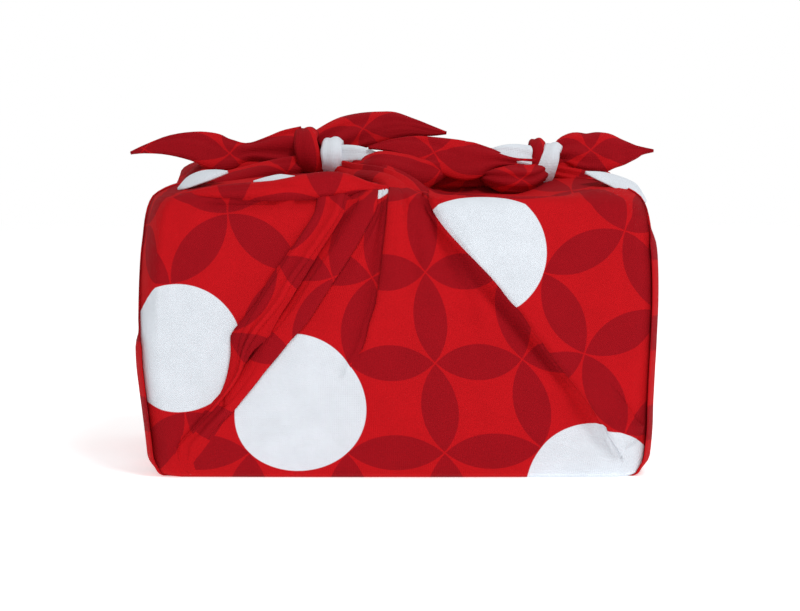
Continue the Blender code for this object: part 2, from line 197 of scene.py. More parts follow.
# Gathers and free ends: place across, depth and height of the middle line, half width, half
# thickness, and the turn of the width, where 0 lies flat and 90 stands upright.
STRANDS = {
    "left_gather": ((-119, 0, 134, 36, 3, 172), (-113, 0, 144, 44, 5, 171), (-104, 0, 150, 42, 7, 169),
                    (-90, -3, 154.5, 29, 8, 164), (-70, -8, 157, 18, 9, 154), (-54, -12, 159, 11, 8, 140),
                    (-43, -14, 161, 8, 8, 130)),
    "right_gather": ((119, 0.6, 134, 36, 3.5, 8), (113, 0.4, 142, 42, 5, 9), (105, 0.2, 147.5, 40, 6, 12),
                     (97, -5, 151.5, 28, 8, 20), (88, -11, 154.5, 14, 8, 34), (76, -14, 157, 8, 8, 50)),
    "front_gather": ((5, -74, 140, 15, 4, 0), (1, -65, 145.5, 12, 5, 12), (-9, -53, 149.5, 9, 6, 35),
                     (-20, -36, 151.5, 7.5, 6.5, 55), (-32, -17, 154, 7, 7, 65), (-42, -9, 158, 7, 7, 70)),
    "back_gather": ((8, 79, 136, 31, 4, 0), (10, 71, 146, 27, 5, 2), (20, 52, 151, 21, 7, 6),
                    (38, 30, 154, 16, 9, 12), (58, 6, 156, 11, 8, 25), (76, -12, 157, 8, 8, 35)),
    "front_roll": ((-113, -70, 140.5, 1, 1.5, 112), (-97, -77, 142.6, 3.2, 3.6, 108),
                   (-80, -79, 143.6, 4.6, 4.6, 105), (-61, -80, 144.4, 5.4, 5, 104),
                   (-41, -80, 146.8, 7, 5.2, 104), (-27, -78, 147.4, 6.2, 4.8, 106),
                   (-14, -74, 145.6, 3, 3.4, 112), (0, -70, 144.4, 1.4, 1.8, 115)),
    "left_fold": ((-115, -46, 139, 4, 3, 150), (-98, -44, 145.5, 7, 4, 148), (-80, -36, 150, 7, 5, 140),
                  (-64, -28, 154, 6, 5, 125), (-50, -20, 157, 5, 5, 115)),
    "bridge": ((-34, -10, 153, 7, 6, 120), (-6, -24, 150, 8, 6, 120), (22, -32, 151.5, 8, 6, 118),
               (48, -28, 152, 8, 6, 115), (73, -18, 155, 7, 6, 115)),
    "lobe": ((-34, -12, 152, 4, 4, 110), (-21, -27, 154, 6, 4.6, 112), (-10, -42, 156, 8.6, 5.4, 114),
             (2, -44, 153.6, 9.8, 6, 115), (11, -44, 152, 9.2, 6, 115), (18, -42, 153.4, 6.6, 5, 114),
             (26, -38, 155, 3.4, 3, 112)),
    "inner_turn": ((-30, -24, 161.5, 5.8, 3.4, 108), (-21, -30, 162, 4.8, 2.6, 110),
                   (-12, -34, 161.2, 2.8, 1.8, 112), (-4, -35, 160.4, 0.8, 0.8, 112)),
    "right_lobe": ((43, -34, 151, 1.4, 1.5, 110), (50, -40, 149.8, 5.2, 5, 108), (58, -41, 149, 7.6, 6.6, 105),
                   (66, -36, 149.4, 7.2, 6.6, 100), (75, -26, 152.5, 5, 5, 100)),
    "right_tuck": ((47, -31, 163.8, 0.8, 0.8, 112), (54, -32, 163.4, 3.6, 2.4, 112),
                   (61, -31, 162.2, 5.6, 3, 110), (69, -27, 160.5, 6.4, 4, 105)),
    "left_inner": ((-112, -52, 144.5, 2, 1, 158), (-108, -53, 147.6, 7.5, 1.4, 157),
                   (-101, -54, 150.4, 8, 1.6, 156), (-93, -55, 152.2, 5, 1.4, 155),
                   (-86.5, -56, 153.4, 0.7, 0.8, 152)),
    "left_glimpse": ((-73, -60, 148.4, 0.8, 0.8, 150), (-67, -61, 149.2, 3, 1, 150),
                     (-59, -61, 149.9, 4.5, 1.2, 150), (-52, -59, 151, 0.6, 0.6, 150)),
    "right_inner": ((97, -46, 153, 0.8, 0.8, 158), (105, -48, 151, 5.5, 1.2, 158), (114, -49, 147.6, 8, 1.5, 156),
                    (122, -49, 143.4, 8, 1.5, 150), (127.5, -48, 137.5, 3, 1, 140)),
    "left_end": ((-50, -14, 165, 12, 8, 82), (-60, -15, 164.2, 10.6, 6.6, 78), (-69, -16, 163.6, 7.6, 5, 72),
                 (-78, -17, 163, 5.2, 3.4, 66), (-85, -17, 162, 8, 3, 62), (-92, -18, 162.2, 10.2, 2.8, 60),
                 (-99, -18, 164, 10.6, 2.8, 60), (-107, -18, 166, 8.8, 2.6, 60), (-120, -17, 166.6, 6, 2, 60),
                 (-133, -16, 164.8, 2.5, 1.4, 60), (-141, -15, 162.8, 0.7, 0.7, 60)),
    "middle_end": ((-42, -6, 165, 9, 7, 105), (-33, -3, 169.6, 10, 6, 112), (-25, 0, 173, 10.6, 4.6, 118),
                   (-18, 1, 175, 10.4, 3.8, 120), (-9, 2, 176.6, 9.6, 3.2, 120), (-1, 2, 177.6, 8.2, 2.8, 120),
                   (8, 3, 176.6, 5.5, 2.2, 120), (18, 3, 174.6, 3.2, 1.5, 120), (26.5, 3, 173.4, 0.7, 0.7, 120)),
    "crossing_end": ((72, -24, 157, 4.6, 4.4, 80), (63, -30, 157.6, 3.4, 3.6, 75), (55, -33, 158.6, 4, 3.4, 72),
                     (48, -35, 159.4, 6.6, 3.2, 68), (41, -37, 159.2, 10, 3, 65), (35, -38, 158.8, 11.2, 3, 64),
                     (28, -38, 160.2, 10.8, 3, 64), (19, -38, 162.6, 9.2, 2.8, 64),
                     (8, -37, 165.4, 6.8, 2.2, 64), (-4, -36, 166.6, 3.4, 1.5, 64),
                     (-15, -35, 165.7, 0.7, 0.7, 64)),
    "right_end": ((78, -14, 159.5, 7, 6, 100), (84, -14, 161.5, 5.6, 5, 105), (89, -14, 163.4, 8.4, 4.8, 112),
                  (94, -14, 164, 10.6, 4.2, 118), (100, -14, 163.2, 11.2, 3.6, 120),
                  (107, -14, 163.4, 12.2, 3.2, 120), (113, -14, 164, 10.8, 2.8, 120),
                  (119.5, -13, 163.4, 7.8, 2.3, 120), (125.5, -13, 163.6, 4.6, 1.8, 120),
                  (130, -12, 164, 2.3, 1.3, 120), (136, -12, 164, 0.7, 0.7, 120)),
}

# How each strand is finished: pleats round it, their depth, how uneven it is, and the place on the
# flat cloth of the start of its upper front side.
STRAND_FINISH = {
    "left_gather": (13, 0.50, 0.10, (45.0, 25.0)),
    "right_gather": (13, 0.50, 0.10, (45.0, 15.0)),
    "front_gather": (8, 0.50, 0.08, (30.0, 150.0)),
    "back_gather": (9, 0.50, 0.10, (60.0, 330.0)),
    "front_roll": (5, 0.30, 0.06, (34.0, 12.0)),
    "left_fold": (5, 0.40, 0.08, (40.0, 30.0)),
    "bridge": (6, 0.45, 0.08, (45.0, 150.0)),
    "lobe": (5, 0.32, 0.06, (44.0, 20.0)),
    "inner_turn": (4, 0.35, 0.04, (-36.0, 8.0)),
    "right_lobe": (8, 0.40, 0.05, (45.0, 70.0)),
    "right_tuck": (4, 0.40, 0.04, (-22.7, 10.0)),
    "left_inner": (2, 0.15, 0.02, (-22.7, 9.0)),
    "left_glimpse": (2, 0.15, 0.02, (-22.7, 10.0)),
    "right_inner": (2, 0.15, 0.02, (-22.7, 2.0)),
}

# Free ends: the place on the flat cloth of each one's start.
END_PRINTS = {"left_end": (46.0, 52.0), "middle_end": (44.0, 110.0), "crossing_end": (46.0, 80.0),
              "right_end": (45.0, 66.0)}

# Bands of the knots: middle, half width, half height, half depth, thickness, lean in degrees, and
# the place of the print at the front.
BANDS = {
    "left_red": ((-46.5, -14.0, 162.6), 6.8, 14.0, 15.5, 3.8, -9.0, (50.0, 66.0)),
    "left_white": ((-33.8, -14.0, 160.4), 6.0, 11.0, 17.0, 3.6, -3.0, (-22.7, 22.7)),
    "right_red": ((71.5, -16.0, 157.8), 5.0, 13.0, 13.0, 3.6, 16.0, (50.0, 66.0)),
    "right_white": ((78.4, -16.0, 156.0), 5.6, 12.6, 14.0, 3.4, 24.0, (-22.7, 22.7)),
}


# ---------------------------------------------------------------- small tools
def linear(value):
    """Turn an sRGB hex colour to linear light."""
    channels = [int(value[i:i + 2], 16) / 255 for i in (1, 3, 5)]
    return tuple(c / 12.92 if c <= 0.04045 else ((c + 0.055) / 1.055) ** 2.4 for c in channels)


def ramp(value, low, high):
    """0 below low, 1 above high, with a soft start and end."""
    part = np.clip((np.asarray(value, float) - low) / (high - low), 0.0, 1.0)
    return part * part * (3 - 2 * part)


def smooth_table(rows, places):
    """Read every column of a table of stations at fractional row numbers, along a smooth curve."""
    rows = np.asarray(rows, float)
    places = np.asarray(places, float)
    i = np.clip(places.astype(int), 0, len(rows) - 2)
    part = (places - i)[:, None]
    before, here = rows[np.maximum(i - 1, 0)], rows[i]
    after, beyond = rows[i + 1], rows[np.minimum(i + 2, len(rows) - 1)]
    slope = after - before
    bend = 2 * before - 5 * here + 4 * after - beyond
    twist = 3 * (here - after) + beyond - before
    return here + 0.5 * part * (slope + part * (bend + part * twist))


def along_fold(rows, height):
    """Place of a fold line at a height, along a smooth curve through its points."""
    rows = np.asarray(rows, float)
    spots = np.interp(height, rows[:, 0], np.arange(len(rows)))
    return smooth_table(rows, np.atleast_1d(spots))[0, 1]


def line_distance(points, line):
    """Distance of points from a line through given points, and how far along it they are, 0 to 1."""
    line = np.asarray(line, float)
    best = np.full(len(points), 1e9)
    share = np.zeros(len(points))
    lengths = np.linalg.norm(np.diff(line, axis=0), axis=1)
    done = 0.0
    for start, end, length in zip(line, line[1:], lengths):
        step = (end - start) / length
        part = np.clip((points - start) @ step, 0.0, length)
        gap = np.linalg.norm(points - start - part[:, None] * step, axis=1)
        near = gap < best
        best[near] = gap[near]
        share[near] = (done + part[near]) / lengths.sum()
        done += length
    return best, share


def crease_level(across, up, creases):
    """How far the creases push the cloth out at each place."""
    points = np.stack([across, up], axis=1)
    level = np.zeros(len(points))
    for width, out, line in creases:
        gap, share = line_distance(points, line)
        fade = 1.0 - ramp(share, 0.55, 1.0)
        level += out * fade * np.exp(-(gap / width) ** 2)
    return level


def ripple(across, up):
    """The slight unevenness of hand-pulled cotton."""
    return (0.22 * np.sin(across / 17.0 + 1.3 * np.sin(up / 31.0))
            + 0.16 * np.sin(up / 13.0 + across / 29.0 + 2.0)
            + 0.10 * np.sin(across / 7.3 - up / 11.0))


def sheet_object(name, points, flats):
    """Make a mesh of a grid of points, with the flat cloth's own places as its UV map."""
    points = np.asarray(points, float)
    flats = np.asarray(flats, float)
    rows, columns = points.shape[:2]
    corner = np.arange(rows * columns).reshape(rows, columns)
    faces = np.stack([corner[:-1, :-1], corner[:-1, 1:], corner[1:, 1:], corner[1:, :-1]], axis=-1)
    mesh = bpy.data.meshes.new(name)
    mesh.from_pydata((points.reshape(-1, 3) * MM).tolist(), [], faces.reshape(-1, 4).tolist())
    layer = mesh.uv_layers.new(name="flat_cloth")
    index = np.empty(len(mesh.loops), np.int32)
    mesh.loops.foreach_get("vertex_index", index)
    layer.data.foreach_set("uv", (flats.reshape(-1, 2)[index] * MM).astype(np.float32).ravel())
    obj = bpy.data.objects.new(name, mesh)
    bpy.context.scene.collection.objects.link(obj)
    return obj


# ---------------------------------------------------------------- the wrapped body
def print_place(panel, across, up):
    """Where a point of a panel lies on the flat cloth."""
    settings = bpy.context.scene.furoshiki
    cell = settings.repeat / MM
    turn, crossing, place = PANELS[panel][4:]
    if panel == "middle":
        heights = (-60, -40, 0, 13, 57, 105, 150, 240)
        spread = np.interp(up, heights, (45.5, 45.5, 50.0, 49.0, 44.2, 39.0, 36.0, 36.0))
        lift = 0.0009 * np.clip(across - 20.0, 0.0, None) ** 2
        return (across - place[0]) * cell / spread, up - place[1] - lift
    turn = math.radians(turn)
    x, z = across - place[0], up - place[1]
    u = crossing[0] * cell + x * math.cos(turn) + z * math.sin(turn)
    v = crossing[1] * cell - x * math.sin(turn) + z * math.cos(turn)
    if panel in PRINT_LIMITS:
        over = np.maximum(v - PRINT_LIMITS[panel] + LIMIT_REACH, 0.0)
        v = v - over + LIMIT_REACH * (1 - np.exp(-over / LIMIT_REACH))
    if panel in PRINT_MEETS:
        share = float(ramp(up, *PRINT_MEETS[panel]))
        middle_u, middle_v = print_place("middle", across, up)
        u, v = share * u + (1 - share) * middle_u, share * v + (1 - share) * middle_v
    return u, v


def folded_edge(line, shape, height, base):
    """Columns through one tuck: place, level and which panel they print from (-1 left, 1 right)."""
    fade, full, tuck, top, out = shape
    strength = ramp(height, fade, full) * ramp(CROWN_HEIGHT - height, 0, 10)
    depth = tuck * strength
    layer = 0.9 * strength
    flat = np.array([-3.0, -2.2, -1.5, -0.8, -0.8, -0.4, 0.0, 0.5, 1.0, 1.4, 1.9, 2.4, 3.0])
    under = np.array([-2.0, 1.0, 0.5 * depth, depth, depth, depth, 0.5 * depth, 1.6, 0.3, -0.2, -0.3, 0.4, 2.2])
    top_level = out * strength
    level = np.array([0, 0, 0, 0.1 * layer, 0.1 * layer, layer, layer, layer, 1.1 * layer, 1.4 * layer,
                      0.5 * layer + 0.45 * top_level, 0.9 * top_level, top_level])
    side = np.array([-1, -1, -1, -1, 1, 1, 1, 1, 1, 1, 1, 1, 1])
    if top < 0:
        under, level, side = -under[::-1], level[::-1], -side[::-1]
    place = flat * (1 - strength) + under * strength
    return line + place, base + level, side


def half_ring(row, creases, fine):
    """One level of the front half, from the middle of the left side to the middle of the right.

    Returns the place along the ring, the level of the cloth and its place on the flat cloth.
    """
    height, left, right, depth, travel = row
    square = float(ramp(CROWN_HEIGHT - 1 - height, 0.0, 12.0))
    radius = min(CORNER_RADIUS + (1 - square) * 0.5 * depth, 0.9 * depth)
    quarter = math.pi / 2 * radius
    calm = float(ramp(height, 2, 30) * ramp(CROWN_HEIGHT - height, 0, 9))
    gather = right / 125.0 if height > EDGE_HEIGHT else 1.0
    ends = (-(left - radius), right - radius)
    side_half = depth - radius

    spots, levels, prints = [], [], []

    def add(place, level, u, v):
        spots.append(np.atleast_1d(place))
        levels.append(np.atleast_1d(level))
        prints.append(np.stack([np.atleast_1d(u), np.atleast_1d(v)], axis=1))

    def side_print(direction, y):
        u = direction * (SIDE_REACH + travel) + 25.0
        return np.full(len(y), u), -y - BASE_DEPTH - 13.2

    def flap(direction, nose, corner):
        """Side flap: from the middle of the side to its folded edge near the upright corner."""
        count = max(int(12 * fine), 6)
        reach = quarter + side_half
        spread = np.linspace(reach, nose, count)
        y = -(reach - spread)
        y = -side_half + (spread - quarter)
        top_of_edge = 76.0 if direction < 0 else 128.0
        lift = 2.4 * square * ramp(height, 1, 10) * (1 - 0.8 * ramp(height, top_of_edge - 10, top_of_edge))
        level = lift * np.ones(count)
        level[-1] = 1.6 * lift / 2.4
        level += crease_level(direction * y * (1 if direction > 0 else 1), np.full(count, height),
                              SIDE_CREASES) * square * ramp(spread, nose, nose + 12)
        u, v = side_print(direction, y)
        under = np.array([nose - 0.3, nose + 1.5, nose + 20, nose + 44, nose + 44, nose + 44, nose + 20,
                          nose + 1])
        under = np.minimum(under, reach * 0.97)
        rise = np.array([1.5, 0.9, 0.9, 0.9, 0.9, 0.05, 0.0, 0.0]) * lift / 2.4
        places = corner + direction * np.concatenate([spread, under])
        return places, np.concatenate([level, rise]), u, v, y, under

    # The flaps' folded edges follow the corners, then draw back towards the knots near the top.
    nose_left = float(np.interp(height, (0, 66, 84, 150), (7.5, 7.5, 15.5, 48.0)))
    nose_right = float(np.interp(height, (0, 118, 132, 150), (7.5, 7.5, 15.0, 40.0)))
    nose_left = min(nose_left, 0.75 * (quarter + side_half))
    nose_right = min(nose_right, 0.75 * (quarter + side_half))

    up = height if height < EDGE_HEIGHT else EDGE_HEIGHT + (travel - EDGE_HEIGHT)

    # left flap
    places, level, u, v, y, under = flap(-1, nose_left, ends[0])
    corner_u, corner_v = print_place("left", ends[0] - under, up)
    flap_v = np.interp(under[:4], [0, quarter + side_half], [v[-1], v[0]])
    split = len(u)
    u = np.concatenate([u, np.full(4, u[-1]), corner_u[4:]])
    v = np.concatenate([v, flap_v, corner_v[4:]])
    add(places, level, u, v)

    names = list(PANELS)
    lines = []
    for name, rows in FOLDS.items():
        lines.append(along_fold(rows, height) * gather)
    room = 7.0
    low, high = ends
    for i in range(len(lines)):
        need = (high - low) / 60.0
        lines[i] = max(lines[i], low + need if i == 0 else lines[i - 1] + need)
    for i in reversed(range(len(lines))):
        need = (high - low) / 60.0
        lines[i] = min(lines[i], high - need if i == len(lines) - 1 else lines[i + 1] - need)
    squeeze = np.minimum(1.0, np.diff([low] + lines + [high]) / room)

    for number, name in enumerate(names):
        count, level_left, level_mid, level_right = PANELS[name][:4]
        count = max(int(count * fine), 6)
        start = low if number == 0 else lines[number - 1] + 3.0 * squeeze[number]
        end = high if number == len(names) - 1 else lines[number] - 3.0 * squeeze[number]
        part = np.linspace(0, 1, count)
        place = start + (end - start) * part
        fold_left = FOLD_SHAPES[list(FOLDS)[number - 1]] if number else None
        fold_right = FOLD_SHAPES[list(FOLDS)[number]] if number < len(names) - 1 else None
        strong_left = float(ramp(height, *fold_left[:2])) if fold_left else 1.0
        strong_right = float(ramp(height, *fold_right[:2])) if fold_right else 1.0
        top = calm
        shape = (level_left * strong_left * (1 - part) ** 3 + level_right * strong_right * part ** 3
                 + level_mid * calm * np.sin(math.pi * part) ** 0.8)
        level = shape * float(ramp(CROWN_HEIGHT - height, 0, 9))
        u, v = print_place(name, place, up)
        add(place, level, u, v)
        if number < len(FOLDS):
            fold = list(FOLDS)[number]
            pressed = min(squeeze[number], squeeze[number + 1])
            spot, level, side = folded_edge(0.0, FOLD_SHAPES[fold], height, 0.0)
            spot = lines[number] + spot * pressed
            u_left, v_left = print_place(name, spot, up)
            u_right, v_right = print_place(names[number + 1], spot, up)
            u, v = np.where(side < 0, u_left, u_right), np.where(side < 0, v_left, v_right)
            add(spot, level, u, v)

    # right flap, mirrored order
    places, level, u, v, y, under = flap(1, nose_right, ends[1])
    corner_u, corner_v = print_place("right", ends[1] + under, up)
    flap_v = np.interp(under[:4], [0, quarter + side_half], [v[-1], v[0]])
    u = np.concatenate([u, np.full(4, u[-1]), corner_u[4:]])
    v = np.concatenate([v, flap_v, corner_v[4:]])
    add(places[::-1], level[::-1], u[::-1], v[::-1])

    spots, levels = np.concatenate(spots), np.concatenate(levels)
    prints = np.concatenate(prints)
    front = ramp(np.abs(spots), SIDE_REACH + 10, SIDE_REACH - 10)
    face = (spots > ends[0] - quarter) & (spots < ends[1] + quarter)
    bulge = np.where(face, FACE_BULGE * (1 - (spots / 125.0) ** 2), 0.0) * square
    levels = levels + bulge + (crease_level(spots, np.full(len(spots), up), creases) * face) * calm
    levels = levels + ripple(spots, np.full(len(spots), up)) * calm
    return spots, levels, prints, radius, ends


def ring_place(spots, levels, row, radius, ends, front):
    """Turn places along a half ring, and levels out from it, to points in space."""
    height, left, right, depth, travel = row
    quarter = math.pi / 2 * radius
    points = np.zeros((len(spots), 3))
    for i, (spot, level) in enumerate(zip(spots, levels)):
        direction = 1 if spot > 0 else -1
        end = ends[1] if direction > 0 else -ends[0]
        far = abs(spot)
        if far <= end:
            x, y, out = far, -depth, (0.0, -1.0)
        elif far <= end + quarter:
            angle = (far - end) / radius
            x, y = end + radius * math.sin(angle), -depth + radius * (1 - math.cos(angle))
            out = (math.sin(angle), -math.cos(angle))
        else:
            x, y = end + radius, -(depth - radius) + far - end - quarter
            share = y / max(depth - radius, 1e-6)
            x += SIDE_BULGE * (1 - share * share) * float(ramp(CROWN_HEIGHT - 1 - height, 0, 12))
            out = (1.0, 0.0)
        points[i] = (direction * (x + out[0] * level), y + out[1] * level, height)
        sag = (ramp(points[i, 0], 4, 26) - ramp(points[i, 0], 78, 104)) * ramp(-y, 14, 42) if front else 0.0
        points[i, 2] -= CROWN_SAG * float(sag) * float(ramp(height, 140.5, 151))
    return points


def body_rows(count):
    """Levels of the body, evenly spaced along its outline, with the way travelled up the cloth."""
    levels = np.asarray(BODY_LEVELS, float)
    fine = smooth_table(levels, np.linspace(0, len(levels) - 1, 600))
    steps = np.hypot(np.diff(fine[:, 0]), np.diff(fine[:, 3]))
    travel = np.concatenate([[0.0], np.cumsum(steps)])
    near_base = 0.25 + 0.75 * ramp(travel, 0, 18)
    weight = np.concatenate([[0.0], np.cumsum(np.diff(travel) / near_base[1:])])
    places = np.interp(np.linspace(0, weight[-1], count), weight, np.arange(len(fine)))
    rows = smooth_table(fine, places)
    way = np.interp(places, np.arange(len(fine)), travel)
    return np.column_stack([rows, way])


def build_body():
    """The sleeve round the load with its crown, and the base under it."""
    rows = body_rows(75)
    points, flats = [], []
    for row in rows:
        front = half_ring(row, FRONT_CREASES, 1.0)
        behind_row = row.copy()
        behind_row[1], behind_row[2] = row[2], row[1]
        back = half_ring(behind_row, BACK_CREASES, 0.5)
        ahead = ring_place(front[0], front[1], row, front[3], front[4], True)
        behind = ring_place(back[0], back[1], behind_row, back[3], back[4], False)
        behind[:, :2] *= -1
        back_flat = np.stack([50.0 - back[2][:, 0], -back[2][:, 1] - 2 * BASE_DEPTH - 26.4], axis=1)
        points.append(np.concatenate([ahead, behind[1:], ahead[:1]]))
        flats.append(np.concatenate([front[2], back_flat[1:], front[2][:1]]))
    points, flats = np.array(points), np.array(flats)
    body = sheet_object("body", points, flats)
    ring = points[0]
    base_points, base_flats = [], []
    for share in np.linspace(1.0, 0.0, 9):
        level = ring * np.array([share, share, 1.0])
        level[:, 2] = 0.0
        x, y = level[:, 0], level[:, 1]
        base_points.append(level)
        base_flats.append(np.stack([x + 25.0, -y - BASE_DEPTH - 13.2], axis=1))
    base = sheet_object("base", np.array(base_points), np.array(base_flats))
    return [body, base]


# ---------------------------------------------------------------- gathers, knots and free ends
def strand_frames(rows, count):
    """Middle line of a strand, with its wide and flat directions at each step."""
    places = np.linspace(0, len(rows) - 1, count)
    stations = smooth_table(rows, places)
    line = stations[:, :3]
    along = np.gradient(line, axis=0)
    along /= np.linalg.norm(along, axis=1)[:, None]
    level = np.cross(along, (0.0, 0.0, 1.0))
    level /= np.linalg.norm(level, axis=1)[:, None]
    turn = np.radians(stations[:, 5])[:, None]
    wide = level * np.cos(turn) + np.cross(level, along) * np.sin(turn)
    flat = np.cross(along, wide)
    way = np.concatenate([[0.0], np.cumsum(np.linalg.norm(np.diff(line, axis=0), axis=1))])
    return stations, line, wide, flat, way


def strand_print(ring, way, start, faces_front):
    """Place of a ring of points on the flat cloth, counted from the side that shows most."""
    around = np.concatenate([[0.0], np.cumsum(np.linalg.norm(np.diff(ring, axis=0), axis=1))])
    shown = 0.25 if faces_front else 0.75
    return np.stack([start[0] + around - shown * around[-1], start[1] + way + 0 * around], axis=1)


def gathered_strand(name, rows, pleats, depth, wave, start):
    """A bunch of cloth drawn together: sharp valleys between round pleats, uneven along it."""
    count, sides = (36, 72) if pleats > 8 else (20, 28 if pleats < 8 else 36)
    stations, line, wide, flat, way = strand_frames(rows, count)
    angle = np.linspace(0, 2 * math.pi, sides + 1)
    faces_front = flat[count // 2] @ (0.0, -1.0, 0.5) > 0
    points, flats = [], []
    for i in range(count):
        drift = 0.5 * math.sin(way[i] / 19.0) + 0.25 * math.sin(way[i] / 7.0 + 1.0)
        ridge = np.abs(np.sin(0.5 * pleats * angle + drift + 0.7 * np.sin(2 * angle + 1.0)
                              + 0.4 * np.sin(5 * angle)))
        fold = 1.0 + depth * (ridge ** 0.7 - 0.85) + wave * np.sin(3 * angle + way[i] / 15.0)
        width, thick = stations[i, 3], stations[i, 4]
        ring = (line[i] + np.outer(width * np.cos(angle) * (1 + 0.25 * (fold - 1)), wide[i])
                + np.outer(thick * np.sin(angle) * fold, flat[i]))
        points.append(ring)
        flats.append(strand_print(ring, way[i], start, faces_front))
    return sheet_object(name, points, flats)


def free_end(name, rows, start, count=36, sides=34):
    """A free corner of the cloth: folded over once, drawn in at the knot, spread like a leaf."""
    stations, line, wide, flat, way = strand_frames(rows, count)
    angle = np.linspace(0, 2 * math.pi, sides + 1)
    faces_front = flat[count // 2] @ (0.0, -1.0, 0.5) > 0
    points, flats = [], []
    length = way[-1]
    for i in range(count):
        width, thick = stations[i, 3], stations[i, 4]
        share = way[i] / length
        spread = float(ramp(share, 0.15, 0.75))
        across = np.cos(angle)
        side = np.sign(np.sin(angle)) * np.abs(np.sin(angle)) ** 0.85
        fan = 1.0 - 0.9 * spread
        gathers = fan * (0.55 * np.abs(np.sin(4.0 * angle + 0.7 + 0.8 * np.sin(angle * 2))) ** 0.7 - 0.3)
        crease = 0.5 * np.exp(-((across - 0.30 + 0.35 * math.sin(way[i] / 16.0)) / 0.13) ** 2)
        second = 0.4 * np.exp(-((across + 0.40 + 0.20 * math.sin(way[i] / 11.0)) / 0.12) ** 2)
        body = side * (1 - crease * spread - second * (side > 0) + gathers)
        curl = 0.10 * width * (across ** 2) * spread
        hem = 0.4 * np.exp(-((across + 0.84) / 0.06) ** 2) * spread
        ring = (line[i] + np.outer(width * across, wide[i])
                + np.outer(thick * body + hem * np.sign(side) - curl, flat[i]))
        points.append(ring)
        flats.append(strand_print(ring, way[i], start, faces_front))
    return sheet_object(name, points, flats)


def band_ring(name, band):
    """One turn of cloth pulled tight round a knot, with pleats that run round it."""
    middle, width, tall, deep, thick, lean, start = band
    lean = math.radians(lean)
    count, sides = 37, 24
    around = np.linspace(0, 2 * math.pi, count)
    section = np.linspace(0, 2 * math.pi, sides + 1)
    points, flats = [], []
    for a in around:
        out = np.array([0.0, -math.cos(a), math.sin(a)])
        centre = np.array([0.0, -math.cos(a) * (deep - thick), math.sin(a) * (tall - thick)])
        centre[0] = math.tan(lean) * centre[2] + 0.6 * math.sin(2 * a + middle[0])
        wobble = 1 + 0.08 * math.sin(3 * a + middle[0]) + 0.05 * math.sin(5 * a)
        ridge = np.abs(np.sin(3.0 * section + 0.4 + 0.5 * math.sin(a) + 0.5 * np.sin(2 * section)))
        fold = 1 + 0.34 * (ridge ** 0.7 - 0.8)
        half = width * wobble * (0.80 + 0.20 * abs(math.cos(a)))
        flatter = np.sign(np.sin(section)) * np.abs(np.sin(section)) ** 0.7
        ring = (np.array(middle) + centre + np.outer(half * np.cos(section), (1, 0, 0))
                + np.outer(thick * flatter * fold, out))
        points.append(ring)
        along_ring = (tall + deep) / 2 * (a if a <= math.pi else a - 2 * math.pi)
        flats.append(np.stack([start[0] + half * np.cos(section), start[1] + along_ring + 0 * section], axis=1))
    return sheet_object(name, points, flats)


# ---------------------------------------------------------------- materials
def add_node(tree, kind, settings=None, values=None, links=None):
    """Add a node with its settings, its sockets' values and its links."""
    node = tree.nodes.new(kind)
    for key, value in (settings or {}).items():
        setattr(node, key, value)
    for key, value in (values or {}).items():
        node.inputs[key].default_value = value
    for key, socket in (links or {}).items():
        tree.links.new(socket, node.inputs[key])
    return node


